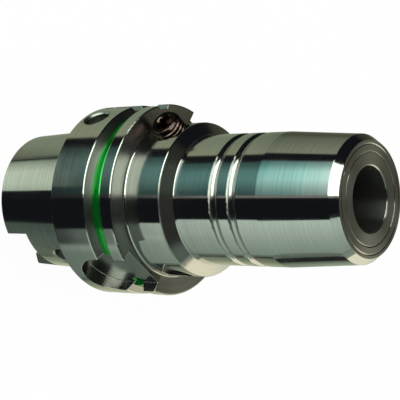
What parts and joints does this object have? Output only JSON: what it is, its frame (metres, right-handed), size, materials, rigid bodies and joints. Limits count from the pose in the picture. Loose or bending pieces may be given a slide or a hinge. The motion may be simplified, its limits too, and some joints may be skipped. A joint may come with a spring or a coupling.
{
  "type": "hydraulic chuck",
  "caption": "Hydraulic expansion chuck on a hollow taper shank; turning the side screw presses oil round a thin sleeve that grips a round tool shank.",
  "frame": {"origin": "centre of the bottom: on the chuck axis, at the open end of the shank", "axes": "+Z along the chuck axis, from the shank to the nose; +X towards the shallow key slot"},
  "size_m": [0.063, 0.063, 0.133],
  "materials": {
    "ground_steel": "turned and ground",
    "sleeve_steel": "turned, ground bore",
    "blackened_steel": "black oxide",
    "piston_steel": "hardened and polished",
    "tube_steel": "turned",
    "white_plastic": "hard plain plastic",
    "seal_rubber": "matt",
    "ring_green": "smooth green"
  },
  "bodies": {
    "holder": {"chuck_body": "ground_steel", "expansion_sleeve": "sleeve_steel", "bleed_ball": "piston_steel", "bleed_screw": "blackened_steel", "coolant_tube": "tube_steel", "coolant_union_nut": "tube_steel", "tube_seal_front": "seal_rubber", "tube_seal_rear": "seal_rubber", "colour_ring_left": "ring_green", "colour_ring_right": "ring_green"},
    "piston": {"pressure_piston": "piston_steel", "piston_backup_ring": "white_plastic", "piston_seal": "seal_rubber"},
    "clamp_screw": {"clamping_screw": "blackened_steel"},
    "stop_seal": {"stop_seal_ring": "seal_rubber"},
    "stop_screw": {"length_stop_screw": "blackened_steel"}
  },
  "joints": [
    {"name": "piston_slide", "type": "slide", "parent": "holder", "child": "piston", "axis": [0, 1, 0], "range_m": [0, 0.0045]},
    {"name": "clamp_screw_turn", "type": "hinge", "parent": "piston", "child": "clamp_screw", "pos_m": [-0.0123, -0.02, 0.065], "axis": [0, 1, 0], "range_deg": [0, 1080]},
    {"name": "stop_slide", "type": "slide", "parent": "holder", "child": "stop_seal", "axis": [0, 0, 1], "range_m": [0, 0.008]},
    {"name": "stop_screw_turn", "type": "hinge", "parent": "stop_seal", "child": "stop_screw", "pos_m": [0, 0, 0.072], "axis": [0, 0, 1], "range_deg": [0, 2880]}
  ],
  "couplings": [
    {"joint": "piston_slide", "follows": "clamp_screw_turn", "m_per_rad": 0.00023873},
    {"joint": "stop_slide", "follows": "stop_screw_turn", "m_per_rad": 0.00015915}
  ]
}
